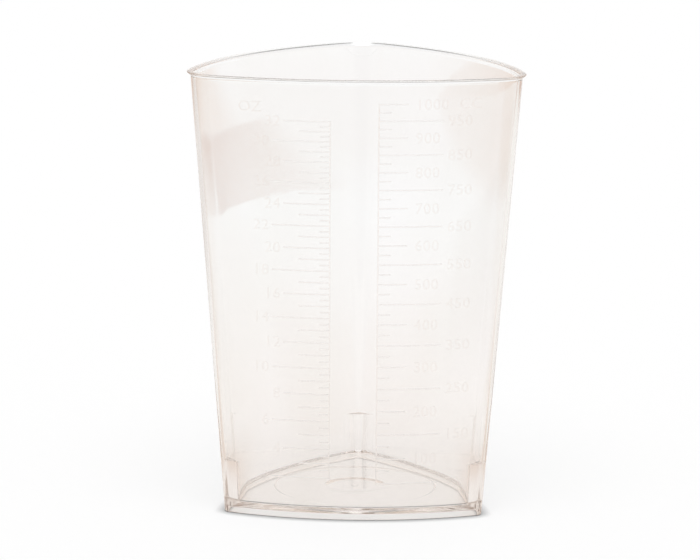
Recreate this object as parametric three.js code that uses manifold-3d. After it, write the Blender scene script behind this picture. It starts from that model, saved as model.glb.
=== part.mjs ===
// One-litre triangular beaker for measuring and pouring, moulded in one shot of clear polystyrene.
// Millimetres, +Z up. The side with the two scales faces -Y, and the third corner points to +Y.
import * as THREE from 'three';
import { mergeVertices } from 'three/addons/utils/BufferGeometryUtils.js';
import Module from 'manifold-3d';

// Shell. The three bowed sides and the corners between them change evenly from the foot to the rim.
const beakerHeight = 158.3;
const footSpan = 91.6; // corner to corner across the front, over the outside of the wall
const footCornerRadius = 2;
const footSideRadius = 112;
const rimSpan = 116.2;
const rimCornerRadius = 14.1; // wide corners at the top make three pouring lips
const rimSideRadius = 127;
const wallThickness = 1.4;

// Lip round the mouth: the top of the wall turned outwards, slope first and then a narrow band
const lipReach = 1.2; // on the outer side
const lipInnerReach = 0.6;
const lipBand = 0.4;
const lipSlope = 1.1;
const rimRound = 0.2;

// Foot and floor. The floor is lifted off the table by a narrow foot, which is the wall carried down.
const footHeight = 2.2;
const footWidth = 1.6;
const floorThickness = 1.8;
const floorRingRadius = 29; // shallow round pocket under the floor, seen through it as a circle
const floorRingDepth = 0.5;
const gateWellRadius = 9.5; // keeps the gate's stub off the table
const gateWellDepth = 0.3;
const gateWellSlope = 1.5;
const gateRadius = 1.2; // stub where the plastic entered the mould
const gateHeight = 0.4;

// Stacking lugs. They fill the bottom of each corner, and the foot of a nested beaker lands on them.
const lugHeight = 15;
const lugReach = 5.1; // along the wall from the corner

// Scales, raised on the front wall either side of a clear band
const clearBand = 16.7;
const lineWidth = 0.45;
const lineRelief = 0.4;
const lineSeatGap = 0.3;
const topMargin = 5; // no line stands nearer to the rim than this

const cubicMillimetresPerOunce = 29573.5;
const firstOunce = 2;
const lastOunce = 32;
const ouncesPerLine = 0.5;
const halfOunceLine = 3.6;
const oddOunceLine = 10.9;
const fourthOunceLine = 16.3;
const evenOunceLine = 20.3;

const cubicMillimetresPerCc = 1000;
const firstCc = 50;
const lastCc = 1000;
const ccPerLine = 25;
const quarterLine = 4.4;
const hundredLine = 10.1;
const fiftyLine = 22.2;

// Fineness of the facets
const sideSteps = 14;
const cornerSteps = 10;
const discSteps = 48;
const lineStep = 5.5;
const spineStations = 8;
const volumeStep = 0.5;
const sharpestCorner = 0.15;

const floorTop = footHeight + floorThickness;
const thirdTurn = (2 * Math.PI) / 3;

const wasm = await Module();
wasm.setup();

// The outline at height z, drawn smaller all round by inset. The front side's arc has its centre on
// the Y axis, and the other two sides are the same arc turned by a third.
function outlineSizes(z, inset) {
  const t = z / beakerHeight;
  const span = THREE.MathUtils.lerp(footSpan, rimSpan, t) - 2 * inset;
  const drawnCorner = THREE.MathUtils.lerp(footCornerRadius, rimCornerRadius, t) - inset;
  const corner = Math.max(drawnCorner, sharpestCorner);
  const side = THREE.MathUtils.lerp(footSideRadius, rimSideRadius, t) - inset;
  const spacing = span - 2 * corner; // between the centres of two corner arcs
  const cornerOut = spacing / Math.sqrt(3); // from the beaker's axis to such a centre
  const halfAngle = Math.asin(spacing / 2 / (side - corner));
  const sideCentre = Math.sqrt((side - corner) ** 2 - (spacing / 2) ** 2) - cornerOut / 2;
  return { corner, side, spacing, cornerOut, halfAngle, sideCentre };
}

function arcPoint(x, y, radius, angle, turn) {
  const point = new THREE.Vector2(x + radius * Math.cos(angle), y + radius * Math.sin(angle));
  return point.rotateAround(new THREE.Vector2(), turn);
}

function outlineAt(z, inset = 0) {
  const { corner, side, spacing, cornerOut, halfAngle, sideCentre } = outlineSizes(z, inset);
  const sideStart = -Math.PI / 2 - halfAngle;
  const cornerStart = -Math.PI / 2 + halfAngle;
  const cornerSweep = thirdTurn - 2 * halfAngle;
  const points = [];
  for (let third = 0; third < 3; third += 1) {
    const turn = third * thirdTurn;
    for (let i = 0; i < sideSteps; i += 1) {
      const angle = sideStart + (2 * halfAngle * i) / sideSteps;
      points.push(arcPoint(0, sideCentre, side, angle, turn));
    }
    for (let i = 0; i < cornerSteps; i += 1) {
      const angle = cornerStart + (cornerSweep * i) / cornerSteps;
      points.push(arcPoint(spacing / 2, -cornerOut / 2, corner, angle, turn));
    }
  }
  return points;
}

function ringAt(z, inset) {
  return outlineAt(z, inset).map((point) => new THREE.Vector3(point.x, point.y, z));
}

// A closed solid through a row of rings with as many points each, capped by a fan at both ends.
// The rings turn anticlockwise when seen from where the row is going.
function solidThrough(rings) {
  const count = rings[0].length;
  const last = (rings.length - 1) * count;
  const index = [];
  for (let r = 0; r < last; r += count) {
    for (let i = 0; i < count; i += 1) {
      const next = (i + 1) % count;
      index.push(r + i, r + next, r + count + next);
      index.push(r + i, r + count + next, r + count + i);
    }
  }
  for (let i = 1; i < count - 1; i += 1) {
    index.push(0, i + 1, i);
    index.push(last, last + i, last + i + 1);
  }
  const geometry = new THREE.BufferGeometry().setFromPoints(rings.flat());
  return geometry.setIndex(index);
}

function toManifold(geometry) {
  const bare = geometry.clone();
  bare.deleteAttribute('normal');
  bare.deleteAttribute('uv');
  const merged = mergeVertices(bare);
  const vertProperties = new Float32Array(merged.attributes.position.array);
  const triVerts = new Uint32Array(merged.index.array);
  return new wasm.Manifold(new wasm.Mesh({ numProp: 3, vertProperties, triVerts }));
}

function fromManifold(solid) {
  const { vertProperties, triVerts } = solid.getMesh();
  const geometry = new THREE.BufferGeometry();
  geometry.setAttribute('position', new THREE.BufferAttribute(vertProperties, 3));
  geometry.setIndex(new THREE.BufferAttribute(triVerts, 1));
  geometry.computeVertexNormals();
  return geometry;
}

// Cup: one profile carried round the outline, from under the floor, out over the foot, up the
// outside, over the lip and down the inside to the top of the floor.
function cupSolid() {
  const lipStart = beakerHeight - lipBand - lipSlope;
  const lipInside = wallThickness - lipInnerReach;
  return solidThrough([
    ringAt(footHeight, footWidth),
    ringAt(0, footWidth),
    ringAt(0, 0),
    ringAt(lipStart, 0),
    ringAt(beakerHeight - lipBand, -lipReach),
    ringAt(beakerHeight - rimRound, -lipReach),
    ringAt(beakerHeight, rimRound - lipReach),
    ringAt(beakerHeight, lipInside - rimRound),
    ringAt(beakerHeight - rimRound, lipInside),
    ringAt(beakerHeight - lipBand, lipInside),
    ringAt(lipStart, wallThickness),
    ringAt(floorTop, wallThickness),
  ]);
}

// Stacking lug in the corner at the right of the front, from inside the floor to the lug's top.
// Its two ends and its point stand in the middle of the wall, so that it fuses with the wall.
function lugRing(z) {
  const middle = wallThickness / 2;
  const { corner, side, spacing, cornerOut, halfAngle, sideCentre } = outlineSizes(z, middle);
  const bisector = -Math.PI / 6;
  const endAngle = -Math.PI / 2 + halfAngle - lugReach / side;
  const front = arcPoint(0, sideCentre, side, endAngle, 0);
  const point = arcPoint(spacing / 2, -cornerOut / 2, corner, bisector, 0);
  const across = front.clone().rotateAround(new THREE.Vector2(), -bisector);
  across.y = -across.y;
  const back = across.rotateAround(new THREE.Vector2(), bisector);
  return [front, point, back].map((corner2d) => new THREE.Vector3(corner2d.x, corner2d.y, z));
}

function lugSolid(turn) {
  const rings = [lugRing(floorTop - floorThickness / 2), lugRing(floorTop + lugHeight)];
  return solidThrough(rings).rotateZ(turn);
}

// Recess turned out of the underside: the shallow pocket, the gate's well in the middle of it, and
// the gate's stub left standing in the well.
function floorRecess() {
  const pocketTop = footHeight + floorRingDepth;
  const wellTop = pocketTop + gateWellDepth;
  const stubEnd = wellTop - gateHeight;
  const profile = [
    [0, 0],
    [floorRingRadius, 0],
    [floorRingRadius, pocketTop],
    [gateWellRadius + gateWellSlope, pocketTop],
    [gateWellRadius, wellTop],
    [gateRadius, wellTop],
    [gateRadius, stubEnd],
    [0, stubEnd],
  ].map(([radius, z]) => new THREE.Vector2(radius, z));
  return new THREE.LatheGeometry(profile, discSteps).rotateX(Math.PI / 2);
}

function bodyGeometry() {
  let body = toManifold(cupSolid());
  for (let third = 0; third < 3; third += 1) {
    body = body.add(toManifold(lugSolid(third * thirdTurn)));
  }
  return fromManifold(body.subtract(toManifold(floorRecess())));
}

// Height of the liquid's surface when a volume is in the beaker: the area inside the wall is summed
// upwards from the floor. The lugs take about half a millilitre, less than the width of a line.
function levelOf(volume) {
  let z = floorTop;
  let held = 0;
  while (z < beakerHeight) {
    const area = THREE.ShapeUtils.area(outlineAt(z + volumeStep / 2, wallThickness));
    if (held + area * volumeStep >= volume) {
      return z + (volume - held) / area;
    }
    held += area * volumeStep;
    z += volumeStep;
  }
  return Infinity;
}

// A point in front of the front wall, at x across it and height z, standing off from the wall
function frontPoint(x, z, standOff) {
  const { side, sideCentre } = outlineSizes(z, 0);
  return new THREE.Vector3(x, sideCentre - Math.sqrt((side + standOff) ** 2 - x ** 2), z);
}

// Raised line across the wall at height z, from x = from to x = to
function lineSolid(z, from, to) {
  const stations = Math.max(1, Math.ceil((to - from) / lineStep));
  const low = z - lineWidth / 2;
  const high = z + lineWidth / 2;
  const near = lineSeatGap;
  const far = lineSeatGap + lineRelief;
  const rings = [];
  for (let i = 0; i <= stations; i += 1) {
    const x = THREE.MathUtils.lerp(from, to, i / stations);
    rings.push([
      frontPoint(x, low, far),
      frontPoint(x, low, near),
      frontPoint(x, high, near),
      frontPoint(x, high, far),
    ]);
  }
  return solidThrough(rings);
}

// Raised line up the wall, centred on x, that the lines of a scale stand on
function spineSolid(x, bottom, top) {
  const left = x - lineWidth / 2;
  const right = x + lineWidth / 2;
  const near = lineSeatGap;
  const far = lineSeatGap + lineRelief;
  const rings = [];
  for (let i = 0; i <= spineStations; i += 1) {
    const z = THREE.MathUtils.lerp(bottom, top, i / spineStations);
    rings.push([
      frontPoint(left, z, far),
      frontPoint(right, z, far),
      frontPoint(right, z, near),
      frontPoint(left, z, near),
    ]);
  }
  return solidThrough(rings);
}

// One scale: a spine at the edge of the clear band, and a line for each volume on the side away
// from it. Volumes that would stand too near the rim have no line.
function scaleGeometry(side, first, last, step, unitVolume, lineLength) {
  const lines = [];
  for (let reading = first; reading <= last; reading += step) {
    const z = levelOf(reading * unitVolume);
    if (z < beakerHeight - topMargin) {
      lines.push({ z, length: lineLength(reading) });
    }
  }
  const spineX = (side * clearBand) / 2;
  const bottom = lines[0].z - lineWidth / 2;
  const top = lines[lines.length - 1].z + lineWidth / 2;
  let scale = toManifold(spineSolid(spineX, bottom, top));
  for (const { z, length } of lines) {
    const end = spineX + side * length;
    scale = scale.add(toManifold(lineSolid(z, Math.min(spineX, end), Math.max(spineX, end))));
  }
  return fromManifold(scale);
}

function ounceLineLength(ounces) {
  if (ounces % 4 === 0) return fourthOunceLine;
  if (ounces % 2 === 0) return evenOunceLine;
  return ounces % 1 === 0 ? oddOunceLine : halfOunceLine;
}

function ccLineLength(cc) {
  if (cc % 100 === 0) return hundredLine;
  return cc % 50 === 0 ? fiftyLine : quarterLine;
}

function clearPolystyrene(color) {
  return new THREE.MeshStandardMaterial({
    color,
    roughness: 0.06,
    metalness: 0,
    transparent: true,
    opacity: 0.35,
  });
}

const beaker = new THREE.Group();

const body = new THREE.Mesh(bodyGeometry(), clearPolystyrene(0xf1ebe7));
body.name = 'beaker_body';
beaker.add(body);

const ounceScale = new THREE.Mesh(
  scaleGeometry(-1, firstOunce, lastOunce, ouncesPerLine, cubicMillimetresPerOunce, ounceLineLength),
  clearPolystyrene(0xe6ddd8),
);
ounceScale.name = 'ounce_scale';
beaker.add(ounceScale);

const ccScale = new THREE.Mesh(
  scaleGeometry(1, firstCc, lastCc, ccPerLine, cubicMillimetresPerCc, ccLineLength),
  clearPolystyrene(0xe6ddd8),
);
ccScale.name = 'cc_scale';
beaker.add(ccScale);

// The origin is on the table, in the middle of the space that the beaker takes up
const middle = new THREE.Box3().setFromObject(beaker).getCenter(new THREE.Vector3());
beaker.position.set(-middle.x, -middle.y, 0);

const part = new THREE.Group();
part.add(beaker);

export default part;
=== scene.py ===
import math
from collections import namedtuple

import bmesh
import bpy
from mathutils import Matrix, Vector


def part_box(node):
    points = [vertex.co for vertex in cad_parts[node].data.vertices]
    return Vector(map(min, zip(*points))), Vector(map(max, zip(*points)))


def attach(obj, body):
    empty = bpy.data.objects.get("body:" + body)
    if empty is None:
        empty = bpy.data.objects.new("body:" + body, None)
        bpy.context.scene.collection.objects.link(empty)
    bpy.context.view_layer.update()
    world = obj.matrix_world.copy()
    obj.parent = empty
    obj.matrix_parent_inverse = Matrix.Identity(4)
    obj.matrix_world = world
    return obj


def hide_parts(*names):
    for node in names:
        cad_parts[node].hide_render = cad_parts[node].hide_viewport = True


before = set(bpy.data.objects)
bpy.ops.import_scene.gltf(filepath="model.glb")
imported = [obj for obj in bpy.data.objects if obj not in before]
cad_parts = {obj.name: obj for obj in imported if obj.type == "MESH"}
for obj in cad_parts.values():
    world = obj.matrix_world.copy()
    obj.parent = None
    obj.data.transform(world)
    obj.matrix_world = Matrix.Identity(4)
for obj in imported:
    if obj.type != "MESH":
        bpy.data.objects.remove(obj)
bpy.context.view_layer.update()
bpy.ops.object.select_all(action="DESELECT")


# Beaker. One moulding of clear polystyrene, injected through a gate in the middle of the floor.
# Three bowed walls rise from a narrow foot. Their corners are almost sharp at the foot and widen
# towards the rim, where each one is a pouring lip. A lug stands in each bottom corner.
mm = 0.001
beaker_height = 158.3 * mm
foot_span = 91.6 * mm
foot_corner_radius = 2 * mm
foot_side_radius = 112 * mm
rim_span = 116.2 * mm
rim_corner_radius = 14.1 * mm
rim_side_radius = 127 * mm
wall_thickness = 1.4 * mm
sharpest_corner = 0.15 * mm
lip_reach = 1.2 * mm
lip_inner_reach = 0.6 * mm
lip_band = 0.4 * mm
lip_slope = 1.1 * mm
foot_height = 2.2 * mm
foot_width = 1.6 * mm
floor_top = 4 * mm
floor_fillet = 1.2 * mm
pocket_radius = 29 * mm
pocket_depth = 0.5 * mm
gate_well_radius = 9.5 * mm
gate_well_slope = 1.5 * mm
gate_well_depth = 0.15 * mm
gate_radius = 1.2 * mm
gate_height = 0.4 * mm
wall_step_height = 26 * mm
wall_step_slope = 0.4 * mm
wall_step_depth = 0.08 * mm
lug_top = 19 * mm
lug_reach = 5.1 * mm
side_steps = 36
corner_steps = 24
points_round = 3 * (side_steps + corner_steps)
ring_spacing = 7 * mm
third_turn = 2 * math.pi / 3
left_corner = math.radians(-150)
Arcs = namedtuple("Arcs", "corner side corner_out half_angle side_centre")


def toward(angle):
    """The flat direction at that angle."""
    return Vector((math.cos(angle), math.sin(angle)))


def outline_sizes(height, inset):
    """The arcs of the wall at a height: the radii of a corner and of a bowed side, how far out the
    corner's centre is, half the side's angle, and how far behind the axis the side's centre is."""
    rise = height / beaker_height
    span = foot_span + (rim_span - foot_span) * rise - 2 * inset
    corner = foot_corner_radius + (rim_corner_radius - foot_corner_radius) * rise - inset
    corner = max(corner, sharpest_corner)
    side = foot_side_radius + (rim_side_radius - foot_side_radius) * rise - inset
    spacing = span - 2 * corner
    corner_out = spacing / math.sqrt(3)
    half_angle = math.asin(spacing / 2 / (side - corner))
    side_centre = math.sqrt((side - corner) ** 2 - (spacing / 2) ** 2) - corner_out / 2
    return Arcs(corner, side, corner_out, half_angle, side_centre)


rim = outline_sizes(beaker_height, 0)
axis_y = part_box("beaker_body")[0].y + lip_reach + rim.side - rim.side_centre


def outline_ring(height, inset):
    """Points round the wall at a height, anticlockwise from the middle of the left front corner."""
    corner, side, corner_out, half_angle, side_centre = outline_sizes(height, inset)
    corner_step = (third_turn - 2 * half_angle) / corner_steps
    side_step = 2 * half_angle / side_steps
    half_corner = corner_steps // 2
    third = []
    for i in range(half_corner):
        third.append(corner_out * toward(left_corner) + corner * toward(left_corner + corner_step * i))
    for i in range(side_steps + 1):
        third.append(Vector((0, side_centre)) + side * toward(-math.pi / 2 - half_angle + side_step * i))
    for i in range(1, half_corner):
        angle = -math.pi / 2 + half_angle + corner_step * i
        third.append(corner_out * toward(left_corner + third_turn) + corner * toward(angle))
    ring = []
    for turn in range(3):
        for point in third:
            placed = Matrix.Rotation(turn * third_turn, 2) @ point
            ring.append(Vector((placed.x, placed.y + axis_y, height)))
    return ring


def circle_ring(height, radius):
    """As many points on a circle round the beaker's axis."""
    ring = []
    for i in range(points_round):
        point = radius * toward(left_corner + 2 * math.pi * i / points_round)
        ring.append(Vector((point.x, point.y + axis_y, height)))
    return ring


def lug_ring(height, inset):
    """The inside of the wall, cut straight across each corner by a lug that a nested beaker stands on."""
    arcs = outline_sizes(height, wall_thickness / 2)
    right_corner = left_corner + third_turn
    lug_angle = -math.pi / 2 + arcs.half_angle - lug_reach / arcs.side
    lug_end = Vector((0, arcs.side_centre)) + arcs.side * toward(lug_angle)
    furthest = lug_end @ toward(right_corner) - inset + wall_thickness
    ring = outline_ring(height, inset)
    for point in ring:
        for turn in range(3):
            outward = toward(left_corner + turn * third_turn)
            reach = outward.x * point.x + outward.y * (point.y - axis_y)
            if reach > furthest:
                point.x *= furthest / reach
                point.y = axis_y + (point.y - axis_y) * furthest / reach
    return ring


def wall_rings(low, high, inset):
    """The rings between two heights of a plain stretch of wall, from the first height to the second."""
    count = round(abs(high - low) / ring_spacing)
    return [(outline_ring(low + (high - low) * i / count, inset), 0) for i in range(1, count)]


# From the gate out under the floor, down and round the foot, up the outside, over the lip, down
# the inside to the lugs and the floor. Each ring has the radius that its edge is rounded to.
pocket_top = foot_height + pocket_depth
well_top = pocket_top + gate_well_depth
lip_underside = beaker_height - lip_band - lip_slope
lip_inside = wall_thickness - lip_inner_reach
lower_inside = wall_thickness + wall_step_depth
rings = [
    (circle_ring(well_top - gate_height, gate_radius), 0.2 * mm),
    (circle_ring(well_top, gate_radius), 0.1 * mm),
    (circle_ring(well_top, gate_well_radius), 0.8 * mm),
    (circle_ring(pocket_top, gate_well_radius + gate_well_slope), 0.8 * mm),
    (circle_ring(pocket_top, pocket_radius), 0.35 * mm),
    (circle_ring(foot_height, pocket_radius), 0.35 * mm),
    (outline_ring(foot_height, foot_width), 0.4 * mm),
    (outline_ring(0, foot_width), 0.2 * mm),
    (outline_ring(0, 0), 0.3 * mm),
]
rings += wall_rings(0, lip_underside, 0)
rings += [
    (outline_ring(lip_underside, 0), 0.5 * mm),
    (outline_ring(beaker_height - lip_band, -lip_reach), 0.15 * mm),
    (outline_ring(beaker_height, -lip_reach), 0.2 * mm),
    (outline_ring(beaker_height, lip_inside), 0.2 * mm),
    (outline_ring(beaker_height - lip_band, lip_inside), 0.15 * mm),
    (outline_ring(lip_underside, wall_thickness), 0.5 * mm),
]
rings += wall_rings(lip_underside, wall_step_height, wall_thickness)
rings += [
    (outline_ring(wall_step_height, wall_thickness), 0),
    (outline_ring(wall_step_height - wall_step_slope, lower_inside), 0),
    (outline_ring(lug_top, lower_inside), 0),
    (lug_ring(lug_top, lower_inside), 0),
    (lug_ring(floor_top, lower_inside), floor_fillet),
]

bpy.ops.mesh.primitive_circle_add(
    vertices=len(rings[0][0]),
    radius=gate_radius,
    location=(0, axis_y, well_top - gate_height),
    rotation=(0, 0, left_corner),
)
bpy.ops.object.transform_apply()
beaker = bpy.context.object
beaker.name = "beaker"
widest_edge = 1 * mm
first_point_slack = 0.001
weld_distance = 0.002 * mm


def round_from_corner(vertex):
    """How far round the axis a vertex is from the middle of the left front corner."""
    angle = math.atan2(vertex.co.y - axis_y, vertex.co.x) - left_corner
    return (angle + first_point_slack) % (2 * math.pi)


bpy.ops.object.mode_set(mode="EDIT")
bpy.ops.mesh.select_mode(type="EDGE")
for number, (ring, edge_radius) in enumerate(rings):
    if number > 0:
        bpy.ops.mesh.extrude_edges_move()
    mesh = bmesh.from_edit_mesh(beaker.data)
    weight = mesh.edges.layers.float.get("bevel_weight_edge")
    if weight is None:
        weight = mesh.edges.layers.float.new("bevel_weight_edge")
    loop = sorted((vertex for vertex in mesh.verts if vertex.select), key=round_from_corner)
    for vertex, place in zip(loop, ring):
        vertex.co = place
    for edge in mesh.edges:
        if edge.select:
            edge[weight] = edge_radius / widest_edge
        elif edge.verts[0].select or edge.verts[1].select:
            edge[weight] = 0
    bmesh.update_edit_mesh(beaker.data)
bpy.ops.mesh.edge_face_add()
bpy.ops.mesh.select_all(action="DESELECT")
mesh = bmesh.from_edit_mesh(beaker.data)
for edge in mesh.edges:
    if edge.is_boundary:
        edge.select = True
bmesh.update_edit_mesh(beaker.data)
bpy.ops.mesh.edge_face_add()
bpy.ops.mesh.select_all(action="SELECT")
bpy.ops.mesh.remove_doubles(threshold=weld_distance)
bpy.ops.mesh.normals_make_consistent(inside=False)
bpy.ops.object.mode_set(mode="OBJECT")

edge_rounding = beaker.modifiers.new("edge_rounding", "BEVEL")
edge_rounding.limit_method = "WEIGHT"
edge_rounding.width = widest_edge
edge_rounding.segments = 3
edge_rounding.use_clamp_overlap = False
bpy.ops.object.modifier_apply(modifier="edge_rounding")
bpy.ops.object.shade_smooth_by_angle(angle=math.radians(30))
flat_faces_flat = beaker.modifiers.new("flat_faces_flat", "WEIGHTED_NORMAL")
flat_faces_flat.keep_sharp = True
bpy.ops.object.modifier_apply(modifier="flat_faces_flat")

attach(beaker, "root")
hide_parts("beaker_body")


# Material of the beaker: general-purpose polystyrene, moulded against polished steel. It is water
# clear with a faint warm tint. Its base colour is painted darker and warmer low down, as painted
# shade for the shaded table seen through the wall, and over the lugs, as a painted deeper tint and
# shade. Flow away from the gate leaves slow ripples, a fine peel and faint streaks in the surface.
def linear_colour(code):
    """The linear colour of an sRGB hex value such as f4efe9."""
    values = [int(code[i : i + 2], 16) / 255 for i in (0, 2, 4)]
    return [v / 12.92 if v <= 0.04045 else ((v + 0.055) / 1.055) ** 2.4 for v in values] + [1]


def add_node(tree, kind, settings=None, links=None):
    """Adds a node, gives it settings or socket values, and links other nodes' outputs to its inputs."""
    node = tree.nodes.new(kind)
    for name, value in (settings or {}).items():
        if isinstance(name, str) and hasattr(node, name):
            setattr(node, name, value)
        else:
            node.inputs[name].default_value = value
    for name, output in (links or {}).items():
        tree.links.new(output, node.inputs[name])
    return node


def new_material(name):
    """An empty node material, and its tree."""
    material = bpy.data.materials.new(name)
    material.use_nodes = True
    material.node_tree.nodes.clear()
    return material, material.node_tree


clear_polystyrene, tree = new_material("clear_polystyrene_polished")
polystyrene_ior = 1.59
ripple_spacing = 22 * mm
ripple_height = 0.03 * mm
peel_spacing = 2.5 * mm
peel_share = 0.02
streak_spacing = 40 * mm
flow_stretch = 0.35
place = add_node(tree, "ShaderNodeTexCoord").outputs["Object"]
along_flow = {"Scale": (1, 1, flow_stretch)}
stretched = add_node(tree, "ShaderNodeMapping", along_flow, {"Vector": place}).outputs["Vector"]
ripples = add_node(
    tree,
    "ShaderNodeTexNoise",
    {"Scale": 1 / ripple_spacing, "Detail": 1.0, "Roughness": 0.4},
    {"Vector": stretched},
)
peel = add_node(tree, "ShaderNodeTexNoise", {"Scale": 1 / peel_spacing, "Detail": 1.0}, {"Vector": place})
heights = add_node(
    tree,
    "ShaderNodeMath",
    {"operation": "MULTIPLY_ADD", 1: peel_share},
    {0: peel.outputs["Fac"], 2: ripples.outputs["Fac"]},
)
bump = add_node(
    tree,
    "ShaderNodeBump",
    {"Strength": 1.0, "Distance": ripple_height},
    {"Height": heights.outputs["Value"]},
)
streaks = add_node(
    tree,
    "ShaderNodeTexNoise",
    {"Scale": 1 / streak_spacing, "Detail": 2.0, "Distortion": 0.6},
    {"Vector": stretched},
)
tint = add_node(tree, "ShaderNodeValToRGB", None, {"Fac": streaks.outputs["Fac"]})
tint.color_ramp.elements[0].position = 0.35
tint.color_ramp.elements[0].color = linear_colour("fcfcfb")
tint.color_ramp.elements[1].position = 0.7
tint.color_ramp.elements[1].color = linear_colour("fefefe")
# Painted shade: the base colour is multiplied darker and warmer low down and over the lugs.
foot_painted_shade = {"data_type": "RGBA", "blend_type": "MULTIPLY", 7: linear_colour("fdfaf8")}
lug_painted_shade = {"data_type": "RGBA", "blend_type": "MULTIPLY", 7: linear_colour("f8f3f0")}
painted_shade_towards_foot = {"From Min": 10 * mm, "From Max": 110 * mm, "To Min": 1.0, "To Max": 0.0}
towards_side = {"From Min": 36 * mm, "From Max": 46 * mm}
down_to_lug = {"From Min": lug_top + 8 * mm, "From Max": lug_top - 4 * mm}
spot = add_node(tree, "ShaderNodeSeparateXYZ", None, {"Vector": place})
across = add_node(tree, "ShaderNodeMath", {"operation": "ABSOLUTE"}, {0: spot.outputs["X"]})
low = add_node(tree, "ShaderNodeMapRange", painted_shade_towards_foot, {"Value": spot.outputs["Z"]})
at_side = add_node(tree, "ShaderNodeMapRange", towards_side, {"Value": across.outputs["Value"]})
by_height = add_node(tree, "ShaderNodeMapRange", down_to_lug, {"Value": spot.outputs["Z"]})
lug_shade_area = add_node(
    tree,
    "ShaderNodeMath",
    {"operation": "MULTIPLY"},
    {0: at_side.outputs["Result"], 1: by_height.outputs["Result"]},
)
streaked_and_shaded = add_node(
    tree, "ShaderNodeMix", foot_painted_shade, {0: low.outputs["Result"], 6: tint.outputs["Color"]}
)
streaked_and_shaded = add_node(tree, "ShaderNodeMix", lug_painted_shade, {0: lug_shade_area.outputs["Value"], 6: streaked_and_shaded.outputs[2]})
gloss = add_node(
    tree,
    "ShaderNodeMapRange",
    {"From Min": 0.3, "From Max": 0.7, "To Min": 0.006, "To Max": 0.02},
    {"Value": peel.outputs["Fac"]},
)
surface = add_node(
    tree,
    "ShaderNodeBsdfPrincipled",
    {"IOR": polystyrene_ior, "Transmission Weight": 1.0},
    {
        "Base Color": streaked_and_shaded.outputs[2],
        "Roughness": gloss.outputs["Result"],
        "Normal": bump.outputs["Normal"],
    },
)
per_metre = 12.0
depth = add_node(
    tree, "ShaderNodeVolumeAbsorption", {"Color": linear_colour("f4ede7"), "Density": per_metre}
)
add_node(
    tree,
    "ShaderNodeOutputMaterial",
    None,
    {"Surface": surface.outputs["BSDF"], "Volume": depth.outputs["Volume"]},
)
beaker.data.materials.clear()
beaker.data.materials.append(clear_polystyrene)


# Scales. Fluid ounces on the left of the clear band and cc on the right of it. Each is a raised
# spine with a line for every reading, engraved in the mould, so they are one with the wall. A
# line stands where the beaker holds its reading. Even ounces and every 50 cc have figures.
clear_band = 16.7 * mm
line_width = 0.45 * mm
line_relief = 0.3 * mm
line_gap = 0.03 * mm
line_rounding = 0.28 * line_width
spine_cuts = 15
cut_spacing = 3 * mm
top_margin = 5 * mm
cubic_metres_per_ounce = 29.5735e-6
cubic_metres_per_cc = 1e-6


def area_inside(height):
    """The area of the cavity at a height."""
    ring = outline_ring(height, wall_thickness)
    return sum(a.x * b.y - b.x * a.y for a, b in zip(ring, ring[1:] + ring[:1])) / 2


def levels(volumes):
    """The heights of the surface of the liquid for a rising row of volumes."""
    slice_height = 0.5 * mm
    found = []
    height = floor_top
    held = 0
    while height < beaker_height and len(found) < len(volumes):
        area = area_inside(height + slice_height / 2)
        while len(found) < len(volumes) and held + area * slice_height >= volumes[len(found)]:
            found.append(height + (volumes[len(found)] - held) / area)
        held += area * slice_height
        height += slice_height
    return found


def on_wall(x, height, out):
    """The point at x across the front wall, at a height, that stands out from it."""
    arcs = outline_sizes(height, 0)
    return Vector((x, axis_y + arcs.side_centre - math.sqrt((arcs.side + out) ** 2 - x**2), height))


def lay_on_wall(piece):
    """Bends a flat piece, modelled standing on the plane y = 0 and facing -Y, on to the front wall."""
    for vertex in piece.data.vertices:
        vertex.co = on_wall(vertex.co.x, vertex.co.z, line_gap - vertex.co.y)


def raised_line(length, cuts, name):
    """A straight raised line of that length along X, rounded along its face, cut so that it can bend."""
    bpy.ops.mesh.primitive_cube_add(
        size=1, location=(0, -line_relief / 2, 0), scale=(length, line_relief, line_width)
    )
    bpy.ops.object.transform_apply()
    line = bpy.context.object
    line.name = name
    bpy.ops.object.mode_set(mode="EDIT")
    bpy.ops.mesh.select_mode(type="EDGE")
    bpy.ops.mesh.select_all(action="DESELECT")
    mesh = bmesh.from_edit_mesh(line.data)
    for edge in mesh.edges:
        edge.select = all(vertex.co.y < -line_relief / 2 for vertex in edge.verts)
    bmesh.update_edit_mesh(line.data)
    bpy.ops.mesh.bevel(offset=line_rounding, segments=2, affect="EDGES")
    bpy.ops.mesh.select_all(action="DESELECT")
    mesh = bmesh.from_edit_mesh(line.data)
    for edge in mesh.edges:
        edge.select = abs(edge.verts[0].co.x - edge.verts[1].co.x) > length / 2
    bmesh.update_edit_mesh(line.data)
    bpy.ops.mesh.subdivide(number_cuts=cuts)
    bpy.ops.object.mode_set(mode="OBJECT")
    return line


def copy_of(piece, offset):
    """A copy with a mesh of its own, moved by an offset."""
    twin = piece.copy()
    twin.data = piece.data.copy()
    twin.data.transform(Matrix.Translation(offset))
    bpy.context.scene.collection.objects.link(twin)
    return twin


def joined(pieces, name):
    """Joins pieces into one object of that name."""
    bpy.ops.object.select_all(action="DESELECT")
    for piece in pieces:
        piece.select_set(True)
    bpy.context.view_layer.objects.active = pieces[0]
    bpy.ops.object.join()
    pieces[0].name = name
    return pieces[0]


figure_height = 3.9 * mm
cap_share = 0.72
letter_spacing = 1.08
stroke_thinning = 0.02 * mm


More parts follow.
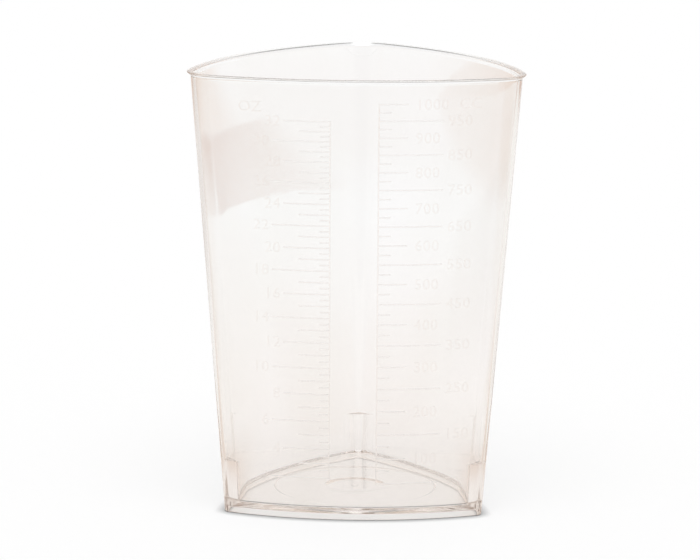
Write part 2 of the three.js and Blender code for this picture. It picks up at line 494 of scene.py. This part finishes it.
def figures(text, align, x, height):
    """Raised figures, standing on the plane y = 0 and centred on a height."""
    bpy.ops.object.text_add(location=(0, 0, 0))
    words = bpy.context.object
    words.data.body = text
    words.data.align_x = align
    words.data.size = figure_height / cap_share
    words.data.space_character = letter_spacing
    words.data.resolution_u = 3
    words.data.offset = -stroke_thinning
    words.data.extrude = line_relief / 2
    bpy.ops.object.convert(target="MESH")
    words = bpy.context.object
    stand_up = Matrix.Rotation(math.pi / 2, 4, "X")
    words.data.transform(Matrix.Translation((x, -line_relief / 2, height - figure_height / 2)) @ stand_up)
    return words


def scale_piece(side, readings, unit, length_of, text_of, gap_of, unit_mark, mark_x, mark_height, name):
    """One whole scale as one piece: its spine, a line for each reading, and the figures."""
    heights = levels([reading * unit for reading in readings])
    marks = [(r, h) for r, h in zip(readings, heights) if h < beaker_height - top_margin]
    spine_x = side * clear_band / 2
    low = marks[0][1]
    high = marks[-1][1]
    spine = raised_line(high - low + line_width, spine_cuts, name)
    stand_up = Matrix.Rotation(math.pi / 2, 4, "Y")
    spine.data.transform(Matrix.Translation((spine_x, 0, (low + high) / 2)) @ stand_up)
    masters = {}
    lines = []
    words = []
    for reading, height in marks:
        length = length_of(reading)
        if length not in masters:
            masters[length] = raised_line(length, int(length / cut_spacing), "line")
        lines.append(copy_of(masters[length], (spine_x + side * length / 2, 0, height)))
        text = text_of(reading)
        if text:
            align = "RIGHT" if side < 0 else "LEFT"
            words.append(figures(text, align, spine_x + side * (length + gap_of(reading)), height))
    words.append(figures(unit_mark, "CENTER", mark_x, mark_height))
    for master in masters.values():
        bpy.data.objects.remove(master)
    lines = joined(lines, "lines")
    fuse = spine.modifiers.new("fuse", "BOOLEAN")
    fuse.operation = "UNION"
    fuse.solver = "EXACT"
    fuse.object = lines
    bpy.context.view_layer.objects.active = spine
    bpy.ops.object.modifier_apply(modifier="fuse")
    bpy.data.objects.remove(lines)
    scale = joined([spine] + words, name)
    lay_on_wall(scale)
    bpy.ops.object.shade_smooth_by_angle(angle=math.radians(35))
    return scale


four_ounce_line = 16.3 * mm
two_ounce_line = 20.3 * mm
one_ounce_line = 10.9 * mm
half_ounce_line = 3.6 * mm
ounce_figure_gap = 1 * mm
hundred_cc_line = 10.1 * mm
hundred_cc_figure_gap = 2.6 * mm
fifty_cc_line = 22.2 * mm
fifty_cc_figure_gap = 1.7 * mm
short_cc_line = 4.4 * mm


def ounce_line(ounces):
    """The length of an ounce reading's line."""
    if ounces % 4 == 0:
        return four_ounce_line
    if ounces % 2 == 0:
        return two_ounce_line
    return one_ounce_line if ounces % 1 == 0 else half_ounce_line


def ounce_text(ounces):
    """The figures beside an ounce reading's line."""
    return str(int(ounces)) if ounces % 2 == 0 else ""


def ounce_gap(ounces):
    """The gap between the line's end and those figures."""
    return ounce_figure_gap


def cc_line(cc):
    """The length of a cc reading's line."""
    if cc % 100 == 0:
        return hundred_cc_line
    return fifty_cc_line if cc % 50 == 0 else short_cc_line


def cc_text(cc):
    """The figures beside a cc reading's line."""
    return str(cc) if cc % 50 == 0 else ""


def cc_gap(cc):
    """The gap between the line's end and those figures."""
    return hundred_cc_figure_gap if cc % 100 == 0 else fifty_cc_figure_gap


ounce_scale = scale_piece(
    side=-1,
    readings=[half_ounces / 2 for half_ounces in range(4, 65)],
    unit=cubic_metres_per_ounce,
    length_of=ounce_line,
    text_of=ounce_text,
    gap_of=ounce_gap,
    unit_mark="OZ",
    mark_x=-36.5 * mm,
    mark_height=148.4 * mm,
    name="ounce_scale_relief",
)
cc_scale = scale_piece(
    side=1,
    readings=list(range(50, 1001, 25)),
    unit=cubic_metres_per_cc,
    length_of=cc_line,
    text_of=cc_text,
    gap_of=cc_gap,
    unit_mark="CC",
    mark_x=40 * mm,
    mark_height=150 * mm,
    name="cc_scale_relief",
)


# Material of the scales: the same polystyrene, but the mould's engraving is left unpolished, so
# the raised strokes come out slightly hazy and show up against the clear wall.
hazy_polystyrene, tree = new_material("clear_polystyrene_unpolished")
grain_size = 0.3 * mm
grit_height = 0.01 * mm
place = add_node(tree, "ShaderNodeTexCoord").outputs["Object"]
grain = add_node(tree, "ShaderNodeTexNoise", {"Scale": 1 / grain_size, "Detail": 2.0}, {"Vector": place})
haze = add_node(
    tree,
    "ShaderNodeMapRange",
    {"From Min": 0.3, "From Max": 0.7, "To Min": 0.03, "To Max": 0.08},
    {"Value": grain.outputs["Fac"]},
)
grit = add_node(
    tree,
    "ShaderNodeBump",
    {"Strength": 0.4, "Distance": grit_height},
    {"Height": grain.outputs["Fac"]},
)
tint = add_node(tree, "ShaderNodeValToRGB", None, {"Fac": grain.outputs["Fac"]})
tint.color_ramp.elements[0].color = linear_colour("fbf8f6")
tint.color_ramp.elements[1].color = linear_colour("fefdfc")
surface = add_node(
    tree,
    "ShaderNodeBsdfPrincipled",
    {"IOR": polystyrene_ior, "Transmission Weight": 1.0},
    {
        "Base Color": tint.outputs["Color"],
        "Roughness": haze.outputs["Result"],
        "Normal": grit.outputs["Normal"],
    },
)
add_node(tree, "ShaderNodeOutputMaterial", None, {"Surface": surface.outputs["BSDF"]})
for piece, node in ((ounce_scale, "ounce_scale"), (cc_scale, "cc_scale")):
    piece.data.materials.clear()
    piece.data.materials.append(hazy_polystyrene)
    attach(piece, "root")
    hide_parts(node)


# Table. A sweep of white paper, which the camera sees plain. Clear plastic shows what stands round
# it more than it shows itself, so rays that have met the beaker see the paper with painted shade in
# its colour: a dark curved strip behind at the right, and darker ground far off, beside and at a
# slant behind. The beaker shows this painted shade as painted reflections.
sweep_size = 8
sweep_drop = 0.1 * mm
room_level = 0.85
lit_share = 0.3
bpy.ops.mesh.primitive_plane_add(size=sweep_size, location=(0, sweep_size / 4, -sweep_drop))
bpy.ops.object.transform_apply()
table = bpy.context.object
table.name = "table"
white_sweep, tree = new_material("white_paper_sweep")


def paper(colour, contact_shade):
    """White paper: a share of its light comes from the room, and the rest glows from within it, so
    that its open parts are white. It is shaded within that distance of what stands on it."""
    settings = {"samples": 8, "Distance": contact_shade}
    colour = add_node(tree, "ShaderNodeAmbientOcclusion", settings, {"Color": colour}).outputs["Color"]
    plain = add_node(tree, "ShaderNodeBsdfDiffuse", None, {"Color": colour})
    dark = add_node(tree, "ShaderNodeBsdfDiffuse", {"Color": linear_colour("000000")})
    lit = add_node(
        tree,
        "ShaderNodeMixShader",
        {0: lit_share},
        {1: dark.outputs["BSDF"], 2: plain.outputs["BSDF"]},
    )
    glow = add_node(
        tree, "ShaderNodeEmission", {"Strength": 1 - lit_share * room_level}, {"Color": colour}
    )
    return add_node(
        tree, "ShaderNodeAddShader", None, {0: lit.outputs["Shader"], 1: glow.outputs["Emission"]}
    ).outputs["Shader"]


# Places on the table, in metres from the middle of it all: how far across and how far back, how far
# away, and how much of that is sideways, where 0 is straight behind and 1 is right beside.
place = add_node(tree, "ShaderNodeTexCoord").outputs["Object"]
away = add_node(tree, "ShaderNodeVectorMath", {"operation": "LENGTH"}, {0: place}).outputs["Value"]
facing = add_node(tree, "ShaderNodeVectorMath", {"operation": "NORMALIZE"}, {0: place}).outputs["Vector"]
facing = add_node(tree, "ShaderNodeSeparateXYZ", None, {"Vector": facing})
sideways = add_node(
    tree, "ShaderNodeMath", {"operation": "ABSOLUTE"}, {0: facing.outputs["X"]}
).outputs["Value"]
spot = add_node(tree, "ShaderNodeSeparateXYZ", None, {"Vector": place})
across = spot.outputs["X"]
back = spot.outputs["Y"]


def behind_edge(middle, furthest, bow):
    """How far a place lies behind a bowed edge, which is furthest back at its middle."""
    from_middle = {"operation": "SUBTRACT", 1: middle}
    along = add_node(tree, "ShaderNodeMath", from_middle, {0: across}).outputs["Value"]
    square = add_node(tree, "ShaderNodeMath", {"operation": "MULTIPLY"}, {0: along, 1: along})
    bowed = {"operation": "MULTIPLY_ADD", 1: -bow, 2: furthest}
    edge = add_node(tree, "ShaderNodeMath", bowed, {0: square.outputs["Value"]}).outputs["Value"]
    return add_node(tree, "ShaderNodeMath", {"operation": "SUBTRACT"}, {0: back, 1: edge}).outputs["Value"]


def beyond(distance, start, full):
    """Rises from 0 to 1 while the distance goes from start to full."""
    settings = {"interpolation_type": "SMOOTHSTEP", "From Min": start, "From Max": full}
    return add_node(tree, "ShaderNodeMapRange", settings, {"Value": distance}).outputs["Result"]


def where_all(*areas):
    """The part of the table that is in all these areas."""
    shared = areas[0]
    for area in areas[1:]:
        both = add_node(tree, "ShaderNodeMath", {"operation": "MULTIPLY"}, {0: shared, 1: area})
        shared = both.outputs["Value"]
    return shared


def dimmed(colour, code, where):
    """The colour with painted shade: multiplied by that of the code in an area."""
    settings = {"data_type": "RGBA", "blend_type": "MULTIPLY", 7: linear_colour(code)}
    return add_node(tree, "ShaderNodeMix", settings, {0: where, 6: colour}).outputs[2]


white = add_node(tree, "ShaderNodeRGB")
white.outputs["Color"].default_value = linear_colour("ffffff")
# Where painted shade goes on the paper, for rays that have met the beaker: a dark strip behind at the
# right, and darker ground far off, beside and at a slant behind.
near_edge = behind_edge(middle=0.52, furthest=0.722, bow=0.27)
far_edge = behind_edge(middle=1.02, furthest=1.18, bow=0.095)
painted_dark_strip = where_all(
    beyond(across, 0.31, 0.55),
    beyond(across, 3.7, 1.9),
    beyond(near_edge, -0.01, 0.01),
    beyond(far_edge, 0.015, -0.015),
)
painted_shade_far_right = where_all(
    beyond(across, 0.0, 0.35),
    beyond(across, 2.0, 1.0),
    beyond(far_edge, -0.015, 0.015),
)
painted_shade_far_left = where_all(beyond(across, -0.18, -0.36), beyond(back, 0.66, 0.9))
beside = where_all(beyond(sideways, 0.86, 0.98), beyond(away, 0.07, 0.11), beyond(away, 0.9, 0.5))
painted_shade_behind = where_all(beyond(back, 0.6, 0.9), beyond(back, 1.6, 1.2))
slant = where_all(
    beyond(sideways, 0.3, 0.46),
    beyond(sideways, 0.92, 0.82),
    beyond(back, 0.0, 0.04),
    beyond(away, 1.15, 0.98),
)
painted_shade_left_slant = where_all(slant, beyond(across, 0.02, -0.02), beyond(away, 0.16, 0.5))
painted_shade_right_slant = where_all(slant, beyond(across, -0.02, 0.02), beyond(away, 0.13, 0.2))
paper_with_painted_shade = white.outputs["Color"]
# Painted shade: each area's colour multiplies the white paper that the beaker reflects and shows through.
for area, code in (
    (painted_dark_strip, "b88159"),
    (painted_shade_far_right, "e6cebd"),
    (painted_shade_far_left, "e7d4c7"),
    (beside, "ece1d8"),
    (painted_shade_behind, "fcfaf9"),
    (painted_shade_left_slant, "eae5e1"),
    (painted_shade_right_slant, "f8f5f2"),
):
    paper_with_painted_shade = dimmed(paper_with_painted_shade, code, area)
light_path = add_node(tree, "ShaderNodeLightPath")
sweep = add_node(
    tree,
    "ShaderNodeMixShader",
    None,
    {
        0: light_path.outputs["Is Camera Ray"],
        1: paper(paper_with_painted_shade, contact_shade=1.2 * mm),
        2: paper(white.outputs["Color"], contact_shade=4.5 * mm),
    },
)
add_node(tree, "ShaderNodeOutputMaterial", None, {"Surface": sweep.outputs["Shader"]})
table.data.materials.append(white_sweep)


# Light. A white room that dims towards its ceiling, with one round soft lamp overhead, a little to
# the front. The side that the camera stands on is a little darker, which helps to draw the clear
# plastic's edges. The camera itself sees plain white beyond the table.
world = bpy.data.worlds.new("studio")
bpy.context.scene.world = world
world.use_nodes = True
tree = world.node_tree
tree.nodes.clear()
facing = add_node(tree, "ShaderNodeTexCoord").outputs["Generated"]


def with_patch(light, direction, edge, core, strength):
    """The light with a round soft patch of more or less of it: none at the edge's angle off that
    direction, and full within the core's."""
    toward_patch = Vector(direction).normalized()
    settings = {"operation": "DOT_PRODUCT", 1: toward_patch}
    nearness = add_node(tree, "ShaderNodeVectorMath", settings, {0: facing})
    patch = add_node(
        tree,
        "ShaderNodeMapRange",
        {
            "interpolation_type": "SMOOTHSTEP",
            "From Min": math.cos(math.radians(edge)),
            "From Max": math.cos(math.radians(core)),
            "To Min": 0.0,
            "To Max": strength,
        },
        {"Value": nearness.outputs["Value"]},
    )
    links = {0: light, 1: patch.outputs["Result"]}
    return add_node(tree, "ShaderNodeMath", {"operation": "ADD"}, links).outputs["Value"]


height_in_room = add_node(tree, "ShaderNodeSeparateXYZ", None, {"Vector": facing}).outputs["Z"]
room_light = add_node(
    tree,
    "ShaderNodeMapRange",
    {"interpolation_type": "SMOOTHSTEP", "From Min": 0.3, "From Max": 0.7, "To Min": 1.0, "To Max": 0.4},
    {"Value": height_in_room},
)
light = room_light.outputs["Result"]
light = with_patch(light, direction=(0, -0.4, 0.9), edge=28, core=12, strength=2.5)
light = with_patch(light, direction=(0, -1, 0.05), edge=40, core=12, strength=-0.3)
room = add_node(tree, "ShaderNodeBackground", {"Color": linear_colour("ffffff")}, {"Strength": light})
seen = add_node(tree, "ShaderNodeBackground", {"Color": linear_colour("ffffff"), "Strength": 1.0})
light_path = add_node(tree, "ShaderNodeLightPath")
final = add_node(
    tree,
    "ShaderNodeMixShader",
    None,
    {0: light_path.outputs["Is Camera Ray"], 1: room.outputs["Background"], 2: seen.outputs["Background"]},
)
add_node(tree, "ShaderNodeOutputWorld", None, {"Surface": final.outputs["Shader"]})


# Camera, at the photograph's place and angle: a long lens 1.2 m in front of the beaker, which looks
# down on it a little.
camera_data = bpy.data.cameras.new("camera")
camera_data.lens = 176.48
camera_data.sensor_width = 36
camera_data.clip_end = 20
camera = bpy.data.objects.new("camera", camera_data)
bpy.context.scene.collection.objects.link(camera)
to_the_right = 29.13 * mm
in_front = 1214.74 * mm
above_table = 308.31 * mm
turn = -0.02592
pitch = 0.18598
roll = 0.00799
across = Vector((math.cos(turn), -math.sin(turn), 0))
forward = Vector((math.sin(turn) * math.cos(pitch), math.cos(turn) * math.cos(pitch), -math.sin(pitch)))
up = across.cross(forward)
right = across * math.cos(roll) + up * math.sin(roll)
top = up * math.cos(roll) - across * math.sin(roll)
basis = Matrix((right, top, -forward)).transposed().to_4x4()
camera.matrix_world = Matrix.Translation((to_the_right, axis_y - in_front, above_table)) @ basis
bpy.context.scene.camera = camera
bpy.context.scene.view_settings.view_transform = "Standard"

# Light runs on inside the clear wall from one face to the other. With the usual few bounces, the
# beaker's corners and rim would end in black.
light_guide_bounces = 300
bpy.context.scene.cycles.max_bounces = light_guide_bounces
bpy.context.scene.cycles.glossy_bounces = light_guide_bounces
bpy.context.scene.cycles.transmission_bounces = light_guide_bounces
